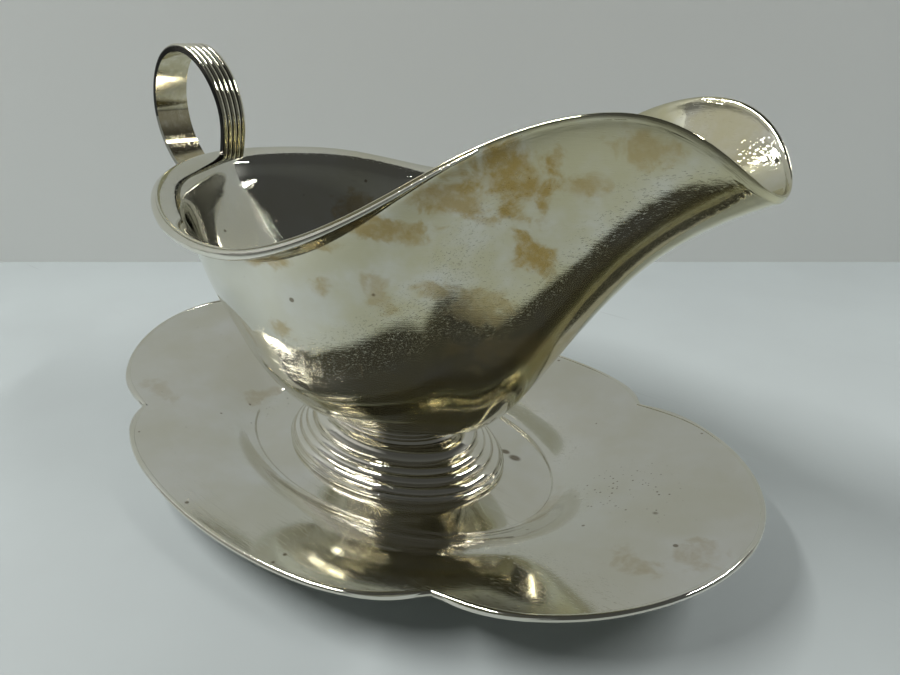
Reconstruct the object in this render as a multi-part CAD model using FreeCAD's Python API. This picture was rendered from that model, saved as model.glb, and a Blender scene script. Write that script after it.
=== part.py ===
import FreeCAD, Part
import math
import os

# A silver sauce boat on its four-lobed stand. Millimetres, +Z up, +X towards the spout.
# The origin is the middle of the stand's underside, on the table.

Vec = FreeCAD.Vector

# ---------------------------------------------------------------- driving dimensions
SHEET = 1.0                 # silver sheet of the stand
WALL = 1.0                  # wall of the bowl
ROUND_STEPS = 72            # control points round the bowl and the stand

# stand: the outline is r(angle) in even powers, from the X axis for the two end lobes
# and from the Y axis for the two side lobes; they meet in four notches
END_LOBE = (115.0, -91.5, 143.9, -199.8)
SIDE_LOBE = (71.9, 22.2, 11.35, -29.9)
NOTCH_ANGLE = math.radians(39.7)
NOTCH_RADIUS = 82.1
WELL = (58.3, 37.0)         # half axes of the flat floor that the foot stands on
DISH_OUT = (120.0, 78.0)    # half axes of the dish before its outline is cut
END_HEIGHT = 22.6           # top of the dish at DISH_OUT, on the X axis
SIDE_HEIGHT = 14.0          # and on the Y axis
STEP_HEIGHT = 1.3           # crisp step round the floor
# (way out, way up) from the top of the step to the edge of the dish
DISH_PROFILE = ((0.0, 0.0), (0.05, 0.06), (0.13, 0.27), (0.27, 0.50), (0.50, 0.73),
                (0.78, 0.91), (1.0, 1.0))
EDGE_WIRE = 0.8             # radius of the wire round the stand's edge
WIRE_STEPS = 16             # control points round a wire

# bowl: rim stations from the spout's tip to the back, evenly spaced round half the rim
RIM = ((105.9, 0.0, 98.3), (99.1, 16.2, 106.5), (82.7, 24.0, 113.1), (64.0, 29.6, 108.8),
       (47.9, 37.5, 99.9), (32.6, 46.6, 90.4), (15.3, 53.9, 83.5), (-4.4, 55.8, 81.2),
       (-24.2, 52.7, 82.0), (-42.8, 45.8, 84.7), (-58.9, 34.2, 87.9), (-71.2, 18.4, 89.2),
       (-78.4, 0.0, 89.4))
NECK = (24.6, 17.4, 18.6)   # half axes and height of the flat bottom over the foot
# (way out, way up) from the neck to the lip, for the three plain sections of the bowl
SPOUT_SECTION = ((0.16, 0.0), (0.31, 0.20), (0.43, 0.40), (0.70, 0.825), (0.985, 0.996))
SIDE_SECTION = ((0.405, 0.095), (0.71, 0.305), (0.747, 0.457), (0.887, 0.672), (0.939, 0.859))
BACK_SECTION = ((0.18, 0.19), (0.385, 0.457), (0.59, 0.573), (0.838, 0.79), (0.986, 0.902))
LIP_WIDTH = (0.6, 6.0)      # turned-out lip, at the spout and at the back
LIP_DROP = (1.0, 3.2)
LIP_FADE = (18.0, 58.0)     # x over which the lip fades out
LIP_CREASE = 0.2            # share of the lip's width that its inner bend takes
RIM_MIDDLE = 5.0            # x from which the sections fan out
RIM_HALF = (95.0, 56.0)     # half axes of the fan
RIM_WIRE = 1.2              # radius of the moulding under the lip's edge
WIRE_TAPER = 5.0            # x where the moulding starts to thin
WIRE_END = 60.0             # x where it ends

# foot: (half length, height over the table, bulge of the line to the next point)
FOOT_RATIO = 0.71           # width to length
FOOT_BASE = 41.0            # half length of the ring it stands on
BASE_HIGH = 2.0             # height and width of that ring, and how far its side bulges
BASE_WIDE = 1.8
BASE_BULGE = 0.6
FOOT_OUTSIDE = ((40.3, 3.0, 0.0), (40.0, 3.4, 0.5), (37.7, 5.6, 0.0), (37.2, 5.6, 0.5),
                (34.9, 7.9, 0.0), (34.4, 7.9, 0.4), (32.2, 9.7, 0.0), (31.6, 9.7, 1.1),
                (27.0, 13.8, 0.0), (26.0, 13.8, 0.0), (25.6, 14.6, 0.0))
FOOT_INSIDE = ((24.4, 14.6, 0.0), (26.0, 12.7, 0.0), (30.8, 8.6, 0.0), (36.4, 4.4, 0.0), (39.2, 3.0, 0.0))
COLLAR = ((25.2, 14.6, 0.35), (24.7, 15.7, 0.35), (24.4, 16.8, 0.35), (24.4, 17.9, 0.0),
          (24.5, 18.6, 0.0), (22.8, 18.6, 0.0), (23.6, 14.6, 0.0))

# handle: centre line in the XZ plane, from the rim's back up, over and down to the wall
HANDLE_PATH = ((-75.4, 87.4), (-72.6, 94.4), (-71.4, 102.5), (-74.4, 112.0), (-81.5, 119.8),
               (-91.5, 123.3), (-102.0, 120.6), (-109.0, 112.6), (-111.6, 103.0), (-110.4, 94.5),
               (-105.6, 86.2), (-96.5, 78.8), (-83.0, 73.2), (-62.8, 69.1))
STRAP_WIDTH = (8.6, 12.4)   # at the rim and at the back leg
STRAP_THICK = 1.5
REED_RISE = 0.48            # height of a reed, as a share of its width
REEDS = 5
STRAP_STEPS = 28


# ---------------------------------------------------------------- geometry helpers
ROUND_WIRE = [2.0 * math.pi * i / WIRE_STEPS for i in range(WIRE_STEPS)]


def blend(x, low, high):
    """0 below low, 1 above high, smooth between."""
    t = min(1.0, max(0.0, (x - low) / (high - low)))
    return t * t * (3.0 - 2.0 * t)


def settle(ring):
    """Move the control points of a closed ring so that its cubic curve passes the given points."""
    count = len(ring)
    out = []
    for i in range(count):
        bend = ring[i - 1] + ring[(i + 1) % count] - ring[i] * 2.0
        out.append(ring[i] - bend * (1.0 / 6.0))
    return out


def skin(rows):
    """Cubic surface over closed rows of control points: periodic round a row, clamped along."""
    count = len(rows[0])
    spans = len(rows) - 3
    poles = [[row[i] for row in rows] for i in range(count)]
    surface = Part.BSplineSurface()
    surface.buildFromPolesMultsKnots(
        poles, [1] * (count + 1), [4] + [1] * (spans - 1) + [4],
        list(range(count + 1)), list(range(spans + 1)), True, False, 3, 3)
    return surface


def closed_skin(rows):
    """Solid between a skin and the flat caps over its first and last row."""
    surface = skin(rows)
    ends = [surface.vIso(v).toShape() for v in (0.0, float(len(rows) - 3))]
    faces = [surface.toShape()] + [Part.Face(Part.Wire([edge])) for edge in ends]
    shell = Part.makeShell(faces)
    shell.sewShape()
    solid = Part.makeSolid(shell.Shells[0] if shell.ShapeType != "Shell" else shell)
    if solid.Volume < 0:
        solid.reverse()
    return solid


def oval(a, b, z, steps=ROUND_STEPS):
    ring = []
    for i in range(steps):
        t = 2.0 * math.pi * i / steps
        ring.append(Vec(a * math.cos(t), b * math.sin(t), z))
    return ring


def inset(rows, depth):
    """Rows moved by depth along the surface's inward normal, for rows that run bottom to top."""
    out = []
    for j, row in enumerate(rows):
        below = rows[max(j - 1, 0)]
        above = rows[min(j + 1, len(rows) - 1)]
        moved = []
        for i, point in enumerate(row):
            around = row[(i + 1) % len(row)] - row[i - 1]
            inward = (above[i] - below[i]).cross(around)
            inward.normalize()
            moved.append(point + inward * depth)
        out.append(moved)
    return out


# ---------------------------------------------------------------- stand
def lobe_radius(angle):
    """Radius of the stand's outline at an angle from the X axis."""
    t = abs(math.atan2(math.sin(angle), math.cos(angle)))
    t = min(t, math.pi - t)
    if t > NOTCH_ANGLE:
        t = math.pi / 2.0 - t
        terms = SIDE_LOBE
    else:
        terms = END_LOBE
    return sum(c * t ** (2 * k) for k, c in enumerate(terms))


def lobe_spans():
    """Start and end angle of the four lobes."""
    n = NOTCH_ANGLE
    return ((-n, n), (n, math.pi - n), (math.pi - n, math.pi + n), (math.pi + n, 2 * math.pi - n))


def lobe_points(start, end, steps=12):
    """Points along one lobe, from notch to notch."""
    points = []
    for k in range(steps + 1):
        t = start + (end - start) * k / steps
        r = NOTCH_RADIUS if k in (0, steps) else lobe_radius(t)
        points.append(Vec(r * math.cos(t), r * math.sin(t), 0.0))
    return points


def dish_rows():
    """Upper side of the stand from the floor to past its outline."""
    a, b = WELL
    rows = [oval(a - 4.0, b - 4.0, SHEET), oval(a - 0.6, b - 0.6, SHEET), oval(a, b, SHEET)]
    rows.append(oval(a + 0.3, b + 0.3, SHEET + STEP_HEIGHT))
    a += 1.0
    b += 1.0
    low = SHEET + STEP_HEIGHT
    for out, up in DISH_PROFILE:
        row = []
        for point in oval(a + (DISH_OUT[0] - a) * out, b + (DISH_OUT[1] - b) * out, low):
            along = (point.x / (a + (DISH_OUT[0] - a) * out)) ** 2
            top = END_HEIGHT * along + SIDE_HEIGHT * (1.0 - along)
            row.append(Vec(point.x, point.y, low + (top - low) * up))
        rows.append(row)
    return rows


def stand_plate():
    """Sheet dish with a flat oval floor, cut to the four-lobed outline."""
    top = dish_rows()
    under = [[point - Vec(0, 0, SHEET) for point in row] for row in top[5:]]
    a, b = WELL
    floor = [oval(a + 1.6, b + 1.6, 0.0), oval(a - 4.0, b - 4.0, 0.0)]
    dish = closed_skin(top + under[::-1] + floor)
    edges = []
    for start, end in lobe_spans():
        curve = Part.BSplineCurve()
        curve.interpolate(lobe_points(start, end))
        edges.append(curve.toShape())
    outline = Part.Face(Part.Wire(edges)).extrude(Vec(0, 0, 60.0))
    outline.translate(Vec(0, 0, -10.0))
    return dish.common(outline)


def stand_edge_wire(side):
    """Round wire along the edge of one lobe, its ends mitred at the notches."""
    upper = skin(dish_rows()).toShape()
    points = lobe_points(*lobe_spans()[side])
    last = len(points) - 1
    rows = []
    for k, point in enumerate(points):
        plumb = Part.makeLine(Vec(point.x, point.y, 0.0), Vec(point.x, point.y, 60.0))
        height = upper.distToShape(plumb)[1][0][0].z - SHEET / 2.0
        centre = Vec(point.x, point.y, height)
        run = points[min(k + 1, last)] - points[max(k - 1, 0)]
        out = Vec(run.y, -run.x, 0.0)
        out.normalize()
        mitre = Vec(point.x, point.y, 0.0)
        mitre.normalize()
        if k in (0, last):
            out = mitre * (1.0 / mitre.dot(out))
        rows.append([centre + out * (EDGE_WIRE * math.cos(t)) + Vec(0, 0, EDGE_WIRE * math.sin(t))
                     for t in ROUND_WIRE])
    return closed_skin([settle(row) for row in rows])


# ---------------------------------------------------------------- bowl
def wave(values, odd):
    """Function of 0..1 through evenly spaced values: sines if odd, cosines if not."""
    n = len(values) - 1
    terms = []
    for m in range(n + 1):
        total = 0.0
        for k, value in enumerate(values):
            share = 0.5 if k in (0, n) else 1.0
            angle = math.pi * m * k / n
            total += share * value * (math.sin(angle) if odd else math.cos(angle))
        total *= 2.0 / n
        terms.append(total * (0.5 if m in (0, n) else 1.0))
    turn = math.sin if odd else math.cos
    return lambda t: sum(c * turn(math.pi * m * t) for m, c in enumerate(terms))


def rim_ring(steps=ROUND_STEPS):
    """Outer edge of the rim, from the spout's tip round by +Y."""
    curves = [wave([station[axis] for station in RIM], axis == 1) for axis in range(3)]
    ring = []
    for i in range(steps):
        t = 2.0 * i / steps
        ring.append(Vec(*(curve(t) for curve in curves)))
    return ring


def section_at(angle):
    """Section of the bowl in one direction, between its spout, side and back sections."""
    c = math.cos(angle)
    shares = (c * (1.0 + c) / 2.0, 1.0 - c * c, c * (c - 1.0) / 2.0)
    section = []
    for corners in zip(SPOUT_SECTION, SIDE_SECTION, BACK_SECTION):
        section.append([sum(share * corner[k] for share, corner in zip(shares, corners)) for k in (0, 1)])
    return section


def bowl_rows():
    """Outside of the bowl: neck, wall, lip and rim, as rows of control points."""
    rows = [[] for _ in range(len(SIDE_SECTION) + 4)]
    for edge in settle(rim_ring()):
        angle = math.atan2(edge.y / RIM_HALF[1], (edge.x - RIM_MIDDLE) / RIM_HALF[0])
        neck = Vec(NECK[0] * math.cos(angle), NECK[1] * math.sin(angle), NECK[2])
        fade = 1.0 - blend(edge.x, *LIP_FADE)
        out = Vec(0.75 * math.cos(angle), math.sin(angle), 0.0)
        out.normalize()
        width = LIP_WIDTH[0] + (LIP_WIDTH[1] - LIP_WIDTH[0]) * fade
        drop = LIP_DROP[0] + (LIP_DROP[1] - LIP_DROP[0]) * fade
        lip = edge - out * width - Vec(0, 0, drop)
        reach = lip - neck
        rows[0].append(neck)
        for row, (way_out, way_up) in zip(rows[1:-3], section_at(angle)):
            row.append(neck + Vec(reach.x * way_out, reach.y * way_out, reach.z * way_up))
        rows[-3].append(lip - Vec(0, 0, width * LIP_CREASE))
        rows[-2].append(lip + (edge - lip) * LIP_CREASE)
        rows[-1].append(edge)
    return rows


def bowl_shell():
    """Raised bowl in one piece, from its flat bottom to the round edge of its lip."""
    outer = bowl_rows()
    inner = inset(outer, WALL)
    inner[0] = [point + Vec(0, 0, WALL) for point in outer[0]]
    crest = [(a + b) * 0.5 + (a - c) * (0.5 * WALL / (a - c).Length)
             for a, b, c in zip(outer[-1], inner[-1], outer[-2])]
    return closed_skin(outer + [crest] + inner[::-1])


def rim_wire():
    """Moulding under the edge of the lip, thick at the back and sides, gone by the spout."""
    edge = rim_ring()
    half = [point for point in edge if point.x < WIRE_END]
    steps = len(half)
    rows = []
    for k, point in enumerate(half):
        ahead = half[min(k + 1, steps - 1)]
        behind = half[max(k - 1, 0)]
        run = ahead - behind
        out = Vec(run.y, -run.x, 0.0)
        out.normalize()
        rise = run.cross(out)
        rise.normalize()
        if rise.z < 0:
            rise = rise * -1.0
        size = RIM_WIRE * (0.25 + 0.75 * (1.0 - blend(point.x, WIRE_TAPER, WIRE_END)))
        centre = point + out * (0.35 * size) - rise * (0.75 * size)
        rows.append([centre + out * (size * math.cos(t)) + rise * (size * math.sin(t))
                     for t in ROUND_WIRE])
    return closed_skin([settle(row) for row in rows])


# ---------------------------------------------------------------- foot
def turned_oval(outline):
    """Profile points (radius, height, bulge) turned round Z, then squeezed to an oval."""
    edges = []
    count = len(outline)
    for k in range(count):
        r0, z0, bulge = outline[k]
        r1, z1, _ = outline[(k + 1) % count]
        start = Vec(r0, 0, z0)
        end = Vec(r1, 0, z1)
        if bulge:
            across = Vec(z1 - z0, 0, r0 - r1)
            across.normalize()
            middle = (start + end) * 0.5 + across * bulge
            edges.append(Part.Arc(start, middle, end).toShape())
        else:
            edges.append(Part.makeLine(start, end))
    solid = Part.Face(Part.Wire(edges)).revolve(Vec(0, 0, 0), Vec(0, 0, 1), 360)
    squeeze = FreeCAD.Matrix()
    squeeze.scale(1.0, FOOT_RATIO, 1.0)
    return solid.transformGeometry(squeeze)


def foot_shell():
    """Hollow stepped foot, pressed from sheet."""
    return turned_oval(FOOT_OUTSIDE + FOOT_INSIDE)


def foot_base_wire():
    """Ring that the boat stands on."""
    outer = FOOT_BASE - BASE_BULGE
    inner = outer - BASE_WIDE
    high = SHEET + BASE_HIGH
    return turned_oval([(inner, SHEET, 0.0), (outer, SHEET, BASE_BULGE), (outer, high, 0.0),
                        (inner, high, 0.0)])


def foot_collar():
    """Reeded collar between the foot and the flat bottom of the bowl."""
    return turned_oval(COLLAR)


# ---------------------------------------------------------------- handle
def strap_section(place, outward, width):
    """Closed wire across the strap: flat inside, reeds outside."""
    def at(y, h):
        return Vec(place.x + outward.x * h, y, place.z + outward.z * h)

    half = width / 2.0
    reed = width / REEDS
    crest = reed * REED_RISE
    low = -(STRAP_THICK + crest) / 2.0
    top = low + STRAP_THICK
    edges = [Part.makeLine(at(half, top), at(half, low)), Part.makeLine(at(half, low), at(-half, low)),
             Part.makeLine(at(-half, low), at(-half, top))]
    for k in range(REEDS):
        y = -half + k * reed
        edges.append(Part.Arc(at(y, top), at(y + reed / 2.0, top + crest), at(y + reed, top)).toShape())
    return Part.Wire(edges)


def handle_strap():
    """Reeded strap bent to a loop, its front end on the rim and its back end on the wall."""
    line = Part.BSplineCurve()
    line.interpolate([Vec(x, 0.0, z) for x, z in HANDLE_PATH])
    first, last = line.FirstParameter, line.LastParameter
    wires = []
    for k in range(STRAP_STEPS + 1):
        share = k / STRAP_STEPS
        at = first + (last - first) * share
        along = line.tangent(at)[0]
        outward = Vec(along.z, 0.0, -along.x)
        width = STRAP_WIDTH[0] + (STRAP_WIDTH[1] - STRAP_WIDTH[0]) * blend(share, 0.0, 0.6)
        wires.append(strap_section(line.value(at), outward, width))
    return Part.makeLoft(wires, True, False)


PARTS = {
    "stand_plate": stand_plate,
    "bowl_shell": bowl_shell,
    "rim_wire": rim_wire,
    "foot_shell": foot_shell,
    "foot_base_wire": foot_base_wire,
    "foot_collar": foot_collar,
    "handle_strap": handle_strap,
}
for side, place in enumerate(("front", "left", "back", "right")):
    PARTS["stand_edge_wire_" + place] = lambda side=side: stand_edge_wire(side)

os.makedirs("parts", exist_ok=True)
for name, build in PARTS.items():
    shape = build()
    shape.exportStep("parts/" + name + ".step")
    print(name, shape.ShapeType, shape.isValid(), len(shape.Solids), round(shape.Volume, 1), shape.BoundBox)
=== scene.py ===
import math

import bpy
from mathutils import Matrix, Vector

# A silver sauce boat on its four-lobed stand. Metres, +Z up, +X towards the spout, +Y to the pourer's left.
# The materials measure in millimetres.

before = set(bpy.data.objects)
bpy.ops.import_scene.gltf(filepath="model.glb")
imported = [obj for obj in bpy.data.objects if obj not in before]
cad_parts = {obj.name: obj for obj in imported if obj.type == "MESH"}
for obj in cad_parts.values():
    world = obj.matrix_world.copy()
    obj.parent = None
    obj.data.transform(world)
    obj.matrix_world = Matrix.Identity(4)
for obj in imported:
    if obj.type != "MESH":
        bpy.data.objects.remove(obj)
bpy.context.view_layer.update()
scene = bpy.context.scene


# ---------------------------------------------------------------- node helpers
MIX_COLOURS = (6, 7)      # the Mix node's two colour inputs
MIX_RESULT = 2            # and its colour output


class Tree:
    """Short names for building a node tree."""

    def __init__(self, tree):
        self.tree = tree
        tree.nodes.clear()

    def add(self, kind, **settings):
        node = self.tree.nodes.new(kind)
        for key, value in settings.items():
            setattr(node, key, value)
        return node

    def put(self, socket, value):
        """Link a socket, set a constant, or leave the default where value is None."""
        if isinstance(value, bpy.types.NodeSocket):
            self.tree.links.new(value, socket)
        elif value is not None:
            socket.default_value = value

    def math(self, operation, a, b=None, clamp=False):
        node = self.add("ShaderNodeMath", operation=operation, use_clamp=clamp)
        self.put(node.inputs[0], a)
        self.put(node.inputs[1], b)
        return node.outputs[0]

    def vector(self, operation, a, b=None, scale=None):
        node = self.add("ShaderNodeVectorMath", operation=operation)
        self.put(node.inputs[0], a)
        self.put(node.inputs[1], b)
        if scale is not None:       # the socket is there only for SCALE
            self.put(node.inputs["Scale"], scale)
        return node.outputs["Value" if operation in ("LENGTH", "DOT_PRODUCT") else "Vector"]

    def axes(self, place):
        """The X, Y and Z of a place."""
        node = self.add("ShaderNodeSeparateXYZ")
        self.put(node.inputs[0], place)
        return node.outputs

    def ramp(self, value, low, high, to_low=0.0, to_high=1.0):
        """A smooth step: to_low at low and to_high at high."""
        node = self.add("ShaderNodeMapRange", interpolation_type="SMOOTHSTEP")
        for socket, entry in zip(node.inputs, (value, low, high, to_low, to_high)):
            self.put(socket, entry)
        return node.outputs[0]

    def mix(self, share, a, b):
        """Colour a where share is 0, b where it is 1."""
        node = self.add("ShaderNodeMix", data_type="RGBA", blend_type="MIX")
        self.put(node.inputs[0], share)
        for socket, colour in zip(MIX_COLOURS, (a, b)):
            self.put(node.inputs[socket], colour)
        return node.outputs[MIX_RESULT]

    def noise(self, place, scale, detail=3.0, rough=0.55, warp=0.0):
        node = self.add("ShaderNodeTexNoise")
        self.put(node.inputs["Vector"], place)
        node.inputs["Scale"].default_value = scale
        node.inputs["Detail"].default_value = detail
        node.inputs["Roughness"].default_value = rough
        node.inputs["Distortion"].default_value = warp
        return node.outputs["Fac"]

    def stretched(self, place, scale, turn=(0.0, 0.0, 0.0)):
        """Place turned by degrees and scaled along each axis."""
        node = self.add("ShaderNodeMapping")
        self.put(node.inputs["Vector"], place)
        node.inputs["Rotation"].default_value = [math.radians(a) for a in turn]
        node.inputs["Scale"].default_value = scale
        return node.outputs["Vector"]

    def finish(self, kind, surface):
        """Close the tree with its output node."""
        self.put(self.add(kind).inputs["Surface"], surface)


def new_material(name):
    material = bpy.data.materials.new(name)
    material.use_nodes = True
    return material, Tree(material.node_tree)


def rgb(r, g, b):
    return (r, g, b, 1.0)


def millimetres(tree):
    """Place on the object in millimetres."""
    place = tree.add("ShaderNodeTexCoord").outputs["Object"]
    return tree.vector("SCALE", place, scale=1000.0)


# ---------------------------------------------------------------- worn silver plate
FILM = rgb(0.60, 0.56, 0.35)         # thin yellow tarnish over everything
FILM_LEAST = 0.25                    # share of the film where it is thinnest
TARNISH = rgb(0.45, 0.33, 0.12)      # brown patches
SPOT = rgb(0.16, 0.12, 0.07)         # dark specks and pits
OLIVE = rgb(0.42, 0.37, 0.22)        # inner side of the handle
GROOVE_SHADE = rgb(0.012, 0.010, 0.008)      # painted shade in the handle's grooves
WORN = (0.94, 0.93, 0.88)            # what the plate's duller clouds do to its tint
PATCH_EDGE = (1.25, 0.55)            # half sizes out where a patch ends and where it is full
SPECK_EDGE = 0.03                    # softness of a speck's edge, in cells
SPECK_CELLS = (0.22, 0.16)           # scale and size of the specks
PIT_CELLS = (0.85, 0.30, 0.55)       # scale, size and share of the pits
SCRATCH_TURNS = ((0.0, 20.0, 15.0), (35.0, 0.0, 75.0), (-25.0, 10.0, -50.0))
DULLED = (0.025, 0.05, 0.06, 0.18, 0.25)      # roughness from brushing, scratches, film, patches and spots
BUMP_STRENGTH = 0.10
BUMP_DEPTH = 0.00008                 # metres


def patch(tree, place, centre, size, ragged):
    """A soft-edged blot: 1 inside, 0 outside, its edge broken up by ragged."""
    away = tree.vector("SUBTRACT", place, centre)
    away = tree.vector("LENGTH", tree.vector("DIVIDE", away, size))
    return tree.ramp(tree.math("ADD", away, ragged), *PATCH_EDGE)


def specks(tree, place, scale, size, share):
    """Small round dots in a share of the cells."""
    cell = tree.add("ShaderNodeTexVoronoi")
    tree.put(cell.inputs["Vector"], place)
    cell.inputs["Scale"].default_value = scale
    parts = tree.add("ShaderNodeSeparateColor")
    tree.put(parts.inputs[0], cell.outputs["Color"])
    chosen = tree.math("LESS_THAN", parts.outputs[0], share)
    reach = tree.math("MULTIPLY", parts.outputs[1], size)
    dot = tree.ramp(tree.math("SUBTRACT", cell.outputs["Distance"], reach), SPECK_EDGE, -SPECK_EDGE)
    return tree.math("MULTIPLY", dot, chosen)


def scratches(tree, place):
    """Fine straight wear lines in three directions."""
    total = None
    for turn in SCRATCH_TURNS:
        lines = tree.noise(tree.stretched(place, (0.02, 2.2, 2.2), turn), 1.1, 2.0)
        lines = tree.ramp(lines, 0.64, 0.74)
        total = lines if total is None else tree.math("MAXIMUM", total, lines)
    return total


def film_share(tree, place, film, film_from):
    """Cloudy share of the film, thinner behind the first X of film_from and full past the second."""
    haze = tree.math("MULTIPLY", tree.ramp(tree.noise(place, 0.05, 4.0, 0.6), 0.25, 0.6), film)
    if film_from is None:
        return haze
    along = tree.axes(place)[0]
    return tree.math("MULTIPLY", haze, tree.ramp(along, *film_from, FILM_LEAST, 1.0))


def stain_share(tree, place, tarnish, ragged):
    """Where the tarnish patches are, or None where there are none."""
    stain = None
    for centre, size, depth in tarnish:
        one = tree.math("MULTIPLY", patch(tree, place, centre, size, ragged), depth)
        stain = one if stain is None else tree.math("MAXIMUM", stain, one)
    return stain


def spot_share(tree, place, dots, pitted, blots, ragged):
    """Dark specks all over, close pits within the pitted patches, and single blots."""
    spots = tree.math("MULTIPLY", specks(tree, place, *SPECK_CELLS, dots), 0.75)
    for centre, size in pitted:
        within = patch(tree, place, centre, size, ragged)
        pits = tree.math("MULTIPLY", specks(tree, place, *PIT_CELLS), within)
        spots = tree.math("MAXIMUM", spots, tree.math("MULTIPLY", pits, 0.7))
    for centre, size in blots:
        blot = patch(tree, place, centre, size, 0.0)
        spots = tree.math("MAXIMUM", spots, tree.math("MULTIPLY", blot, 0.8))
    return spots


def silver(name, tint, rough, brushed, tarnish=(), film=0.25, dots=0.1, groove=None, film_from=None,
           pitted=(), blots=()):
    """Worn silver plate.

    brushed(tree, place) gives the polishing marks, and groove(tree, place) the painted shade between the
    reeds and the strap's inner side. tarnish lists (centre, half size, depth) of the brown patches.
    """
    material, tree = new_material(name)
    place = millimetres(tree)
    broad = tree.noise(place, 0.035, 3.0)
    fine = tree.noise(place, 0.35, 5.0, 0.65)
    ragged = tree.ramp(tree.noise(place, 0.16, 4.0, 0.6, 0.4), 0.3, 0.7, -0.45, 0.45)

    duller = rgb(*(part * share for part, share in zip(tint, WORN)))
    clean = tree.mix(tree.ramp(broad, 0.35, 0.65), tint, duller)
    haze = film_share(tree, place, film, film_from)
    colour = tree.mix(haze, clean, FILM)
    stain = stain_share(tree, place, tarnish, ragged)
    if stain is not None:
        mottled = tree.math("MULTIPLY", stain, tree.ramp(fine, 0.25, 0.6, 0.45, 1.0), clamp=True)
        colour = tree.mix(mottled, colour, TARNISH)
    spots = spot_share(tree, place, dots, pitted, blots, ragged)
    colour = tree.mix(spots, colour, SPOT)
    if groove is not None:
        groove_shade, inner = groove(tree, place)
        olive = tree.math("MULTIPLY", inner, tree.ramp(fine, 0.2, 0.6, 0.35, 0.85))
        colour = tree.mix(olive, colour, OLIVE)
        # painted shade darkens the grooves between the handle's reeds
        colour = tree.mix(groove_shade, colour, GROOVE_SHADE)

    marks = brushed(tree, place)
    wear = scratches(tree, place)
    dull = rough
    for mask, share in zip((marks, wear, haze, stain, spots), DULLED):
        if mask is not None:
            dull = tree.math("ADD", tree.math("MULTIPLY", mask, share), dull)

    bump = tree.add("ShaderNodeBump")
    bump.inputs["Strength"].default_value = BUMP_STRENGTH
    bump.inputs["Distance"].default_value = BUMP_DEPTH
    height = tree.math("ADD", marks, tree.math("MULTIPLY", fine, 0.6))
    height = tree.math("SUBTRACT", height, tree.math("MULTIPLY", spots, 1.5))
    height = tree.math("SUBTRACT", height, wear)
    tree.put(bump.inputs["Height"], height)

    shader = tree.add("ShaderNodeBsdfPrincipled")
    shader.inputs["Metallic"].default_value = 1.0
    tree.put(shader.inputs["Base Color"], colour)
    tree.put(shader.inputs["Roughness"], dull)
    tree.put(shader.inputs["Normal"], bump.outputs["Normal"])
    tree.finish("ShaderNodeOutputMaterial", shader.outputs[0])
    return material


def brushed_round(tree, place):
    """Fine lines that run round the bowl."""
    return tree.noise(tree.stretched(place, (0.05, 0.05, 3.2)), 1.0, 3.0)


def brushed_oval(tree, place):
    """Fine lines that run round the stand's oval floor and along its rim."""
    along, across, _ = tree.axes(place)
    wide = tree.math("MULTIPLY", across, 1.5)
    squares = [tree.math("POWER", side, 2.0) for side in (along, wide)]
    ring = tree.math("SQRT", tree.math("ADD", *squares))
    turn = tree.math("ARCTAN2", wide, along)
    joined = tree.add("ShaderNodeCombineXYZ")
    tree.put(joined.inputs[0], tree.math("MULTIPLY", ring, 2.4))
    tree.put(joined.inputs[1], tree.math("MULTIPLY", turn, 5.0))
    return tree.noise(joined.outputs[0], 1.0, 3.0)


def brushed_along(tree, place):
    """Fine lines along the handle and the wires."""
    return tree.noise(tree.stretched(place, (0.15, 2.5, 0.15)), 1.0, 3.0)


LOOP_MIDDLE = (-91.0, 0.0, 100.0)    # middle of the handle's loop, mm
LOOP_START = -40.0                   # degrees round it where the strap leaves the rim
LOOP_WIDENS = 220.0                  # degrees over which the strap widens
STRAP_WIDTH = (8.6, 12.4)            # mm, at the rim and at the back leg
REEDS = 5.0


def reed_grooves(tree, place):
    """Painted shade in the grooves on the handle's outer side, olive tarnish on its flat inner side."""
    away = tree.vector("SUBTRACT", place, LOOP_MIDDLE)
    along, across, up = tree.axes(away)
    turn = tree.math("SUBTRACT", tree.math("ARCTAN2", up, along), math.radians(LOOP_START))
    width = tree.ramp(turn, 0.0, math.radians(LOOP_WIDENS), *STRAP_WIDTH)
    phase = tree.math("MULTIPLY", tree.math("DIVIDE", across, width), REEDS)
    # half the reeds puts the count at the strap's edge, and the whole 10 keeps it above zero
    phase = tree.math("FRACT", tree.math("ADD", phase, 0.5 * REEDS + 10.0))
    near = tree.math("ABSOLUTE", tree.math("SUBTRACT", phase, 0.5))
    # the groove lines on the outer side carry the painted shade
    line = tree.ramp(near, 0.33, 0.45)
    facing = tree.vector("DOT_PRODUCT", tree.add("ShaderNodeNewGeometry").outputs["Normal"], away)
    outside = tree.math("GREATER_THAN", facing, 0.0)
    return tree.math("MULTIPLY", line, outside), tree.math("SUBTRACT", 1.0, outside)


SIDE_DEEP = 30.0      # mm; a patch reaches right through one side of the bowl
# tarnish on each side of the bowl, in mm: (along, up, half length, half height, strength)
RIGHT_STAINS = (
    (63, 100, 9, 8, 1.0),
    (52, 96, 8, 4, 0.8),
    (39, 89, 8, 3, 0.85),
    (26, 85, 5, 2, 0.6),
    (12, 80, 8, 3, 0.7),
    (63, 84, 4, 6, 1.0),
    (74, 99, 5, 3, 0.7),
    (87, 108, 6, 4, 0.6),
    (51, 69, 6, 5, 0.6),
    (44, 73, 4, 3, 0.6),
    (34, 73, 3, 6, 0.5),
    (22, 73, 3, 3, 0.65),
    (8, 60, 4, 4, 0.6),
    (58, 54, 14, 9, 0.4),
)
LEFT_STAINS = (
    (-20, 76, 9, 4, 0.7),
    (-46, 70, 7, 5, 0.6),
    (30, 80, 8, 6, 0.7),
    (70, 92, 9, 7, 0.7),
)


def side_stains(side, rows):
    """Tarnish patches on one side of the bowl: side is -1.0 for the right one and 1.0 for the left."""
    return tuple(((along, side * SIDE_DEEP, up), (long, SIDE_DEEP, high), strength)
                 for along, up, long, high, strength in rows)


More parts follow.
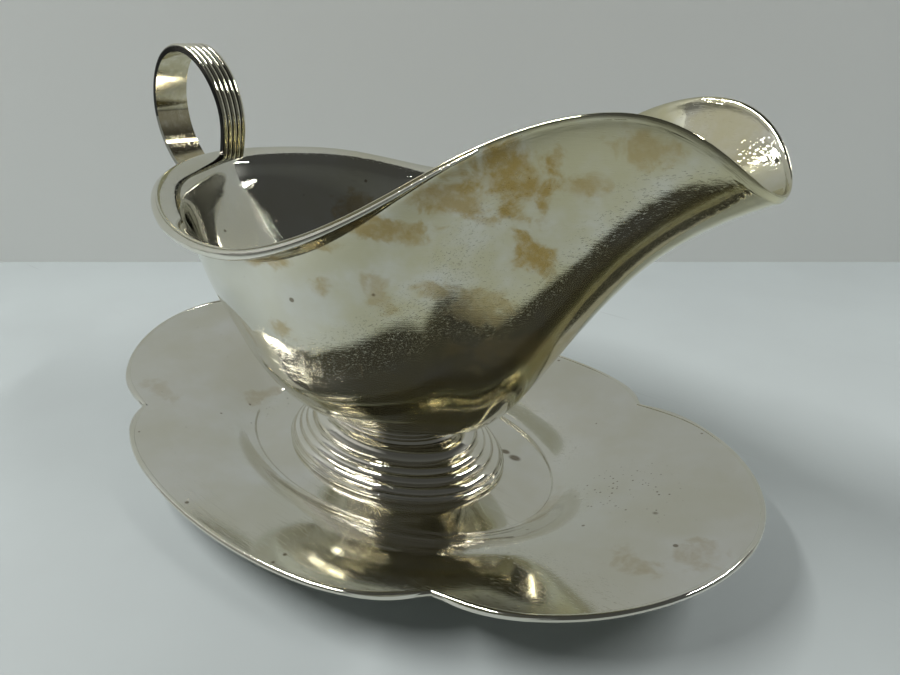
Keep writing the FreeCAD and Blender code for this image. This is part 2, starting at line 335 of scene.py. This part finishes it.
# on the stand, in mm: tarnish (centre, half size, strength), pitted patches and blots (centre, half size)
STAND_STAINS = (
    ((97.0, -19.0, 14.0), (8.0, 5.0, 6.0), 0.40),
    ((106.0, -10.0, 18.0), (5.0, 7.0, 6.0), 0.35),
    ((60.0, 0.0, 3.0), (3.0, 12.0, 3.0), 0.30),
    ((-58.0, -12.0, 3.0), (3.5, 14.0, 3.0), 0.35),
    ((-70.0, -44.0, 14.0), (9.0, 4.0, 6.0), 0.25),
)
STAND_PITS = (
    ((80.0, 9.0, 13.0), (17.0, 12.0, 12.0)),
    ((62.0, -34.0, 8.0), (12.0, 8.0, 12.0)),
    ((-52.0, -8.0, 1.0), (5.0, 16.0, 4.0)),
)
STAND_BLOTS = (
    ((33.0, 19.0, 1.0), (1.8, 1.2, 2.0)),
    ((37.5, 18.0, 1.0), (2.2, 1.5, 2.0)),
    ((91.0, 1.0, 15.0), (1.0, 0.9, 3.0)),
)

bowl_silver = silver("bowl_silver", rgb(0.74, 0.735, 0.68), 0.005, brushed_round,
                     side_stains(-1.0, RIGHT_STAINS) + side_stains(1.0, LEFT_STAINS),
                     film=0.85, dots=0.22, film_from=(0.0, 45.0))
stand_silver = silver("stand_silver", rgb(0.82, 0.81, 0.78), 0.045, brushed_oval, STAND_STAINS,
                      film=0.2, dots=0.16, pitted=STAND_PITS, blots=STAND_BLOTS)
foot_silver = silver("foot_silver", rgb(0.84, 0.82, 0.77), 0.01, brushed_oval, film=0.1, dots=0.04)
handle_silver = silver("handle_silver", rgb(0.80, 0.78, 0.70), 0.04, brushed_along,
                       film=0.3, dots=0.08, groove=reed_grooves)
wire_silver = silver("wire_silver", rgb(0.80, 0.79, 0.74), 0.05, brushed_along, film=0.2, dots=0.06)

FINISH = {
    "stand_plate": stand_silver,
    "stand_edge_wire_front": wire_silver,
    "stand_edge_wire_left": wire_silver,
    "stand_edge_wire_back": wire_silver,
    "stand_edge_wire_right": wire_silver,
    "bowl_shell": bowl_silver,
    "rim_wire": wire_silver,
    "foot_shell": foot_silver,
    "foot_base_wire": wire_silver,
    "foot_collar": foot_silver,
    "handle_strap": handle_silver,
}
for node_name, material in FINISH.items():
    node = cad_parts[node_name]
    node.data.materials.clear()
    node.data.materials.append(material)


# ---------------------------------------------------------------- table, wall, room and light
LOOK = math.radians(39.68)           # way the camera looks, turned from +Y towards -X
AHEAD = Vector((-math.sin(LOOK), math.cos(LOOK), 0.0))
ACROSS = Vector((math.cos(LOOK), math.sin(LOOK), 0.0))

TABLE_LOW = -0.0003                  # just under the stand, so that the two faces don't flicker
TABLE_HALF = 1.6
TABLE_FADE = (30.0, 260.0)           # mm towards the camera over which the table falls into shade
WALL_AWAY = 0.204
WALL_HALF = 1.3
WALL_HIGH = 0.6


def panel(name, corners, material):
    """A flat four-cornered stage piece."""
    mesh = bpy.data.meshes.new(name)
    mesh.from_pydata([tuple(c) for c in corners], [], [tuple(range(len(corners)))])
    mesh.materials.append(material)
    thing = bpy.data.objects.new(name, mesh)
    scene.collection.objects.link(thing)


def table_material():
    """Pale grey-blue top with a few faint marks, and painted shade towards the camera."""
    material, tree = new_material("table_white")
    place = millimetres(tree)
    cloud = tree.ramp(tree.noise(place, 0.01, 4.0), 0.3, 0.7)
    colour = tree.mix(cloud, rgb(0.445, 0.49, 0.50), rgb(0.47, 0.52, 0.53))
    lines = tree.noise(tree.stretched(place, (0.012, 0.45, 1.0), (0.0, 0.0, 32.0)), 1.0, 2.0)
    faint = tree.ramp(tree.noise(place, 0.012, 2.0), 0.48, 0.62)
    marks = tree.math("MULTIPLY", tree.ramp(lines, 0.68, 0.76), faint)
    colour = tree.mix(tree.math("MULTIPLY", marks, 0.35), colour, rgb(0.25, 0.27, 0.28))
    # painted shade: the table's colour darkens towards the camera
    nearer = tree.vector("DOT_PRODUCT", place, tuple(-AHEAD))
    colour = tree.mix(tree.ramp(nearer, *TABLE_FADE), colour, rgb(0.14, 0.15, 0.145))
    shader = tree.add("ShaderNodeBsdfPrincipled")
    tree.put(shader.inputs["Base Color"], colour)
    shader.inputs["Roughness"].default_value = 0.45
    shader.inputs["Specular IOR Level"].default_value = 0.35
    tree.finish("ShaderNodeOutputMaterial", shader.outputs[0])
    return material


def wall_material():
    """Plain wall seen from its front only."""
    material, tree = new_material("wall_grey")
    place = millimetres(tree)
    colour = tree.mix(tree.noise(place, 0.004, 2.0), rgb(0.74, 0.765, 0.75), rgb(0.77, 0.79, 0.775))
    front = tree.add("ShaderNodeBsdfDiffuse")
    tree.put(front.inputs["Color"], colour)
    clear = tree.add("ShaderNodeBsdfTransparent")
    either = tree.add("ShaderNodeMixShader")
    tree.put(either.inputs[0], tree.add("ShaderNodeNewGeometry").outputs["Backfacing"])
    tree.put(either.inputs[1], front.outputs[0])
    tree.put(either.inputs[2], clear.outputs[0])
    tree.finish("ShaderNodeOutputMaterial", either.outputs[0])
    return material


def room():
    """Dark ceiling, grey walls, a darker side behind the camera, and a pale window high on the left."""
    world = bpy.data.worlds.new("room")
    world.use_nodes = True
    scene.world = world
    tree = Tree(world.node_tree)
    way = tree.add("ShaderNodeTexCoord").outputs["Generated"]
    behind = tree.vector("DOT_PRODUCT", way, tuple(-AHEAD))
    up = tree.vector("DOT_PRODUCT", way, (0.0, 0.0, 1.0))
    high = tree.ramp(up, 0.10, 0.60)
    dark = tree.ramp(behind, -0.1, 0.65)
    walls = tree.mix(dark, rgb(0.36, 0.37, 0.36), rgb(0.09, 0.095, 0.09))
    colour = tree.mix(high, walls, rgb(0.06, 0.062, 0.06))
    left = tree.ramp(tree.vector("DOT_PRODUCT", way, tuple(-ACROSS)), 0.5, 0.8)
    window = tree.math("MULTIPLY", left, tree.ramp(up, 0.38, 0.52))
    colour = tree.mix(window, colour, rgb(0.55, 0.56, 0.55))
    back = tree.add("ShaderNodeBackground")
    tree.put(back.inputs["Color"], colour)
    back.inputs["Strength"].default_value = 1.0
    tree.finish("ShaderNodeOutputWorld", back.outputs[0])


table_corners = [(x * TABLE_HALF, y * TABLE_HALF, TABLE_LOW) for x, y in ((-1, -1), (1, -1), (1, 1), (-1, 1))]
panel("table", table_corners, table_material())
foot_of_wall = AHEAD * WALL_AWAY + Vector((0, 0, TABLE_LOW))
half_wall = ACROSS * WALL_HALF
wall_up = Vector((0, 0, WALL_HIGH))
panel("wall", [foot_of_wall - half_wall, foot_of_wall + half_wall, foot_of_wall + half_wall + wall_up,
               foot_of_wall - half_wall + wall_up], wall_material())
room()


STRIP_SIZE = (0.9, 0.05)
STRIP_TINT = (1.0, 0.99, 0.96)
STRIPS = {  # name: (ahead, across, up) in metres, then watts
    "strip_left": ((-0.05, -0.74, 1.08), 15.0),
    "strip_right": ((-0.05, 0.95, 1.10), 9.0),
}


def strip(name, ahead, across, up, watts):
    """A long soft lamp aimed at the stand's middle, placed as the camera sees it."""
    light = bpy.data.lights.new(name, "AREA")
    light.shape = "RECTANGLE"
    light.size, light.size_y = STRIP_SIZE
    light.energy = watts
    light.color = STRIP_TINT
    thing = bpy.data.objects.new(name, light)
    scene.collection.objects.link(thing)
    thing.location = AHEAD * ahead + ACROSS * across + Vector((0, 0, up))
    thing.rotation_euler = (-thing.location).to_track_quat("-Z", "Y").to_euler()


for strip_name, (strip_place, strip_watts) in STRIPS.items():
    strip(strip_name, *strip_place, strip_watts)

# ---------------------------------------------------------------- camera
CAMERA_TILT = math.radians(65.77)    # up from straight down
camera = bpy.data.objects.new("camera", bpy.data.cameras.new("camera"))
scene.collection.objects.link(camera)
camera.location = (0.1348, -0.1324, 0.1242)
camera.rotation_euler = (CAMERA_TILT, 0.0, LOOK)
camera.data.sensor_width = 36.0
camera.data.lens = 26.05
camera.data.clip_start = 0.01
scene.camera = camera
scene.view_settings.view_transform = "Standard"
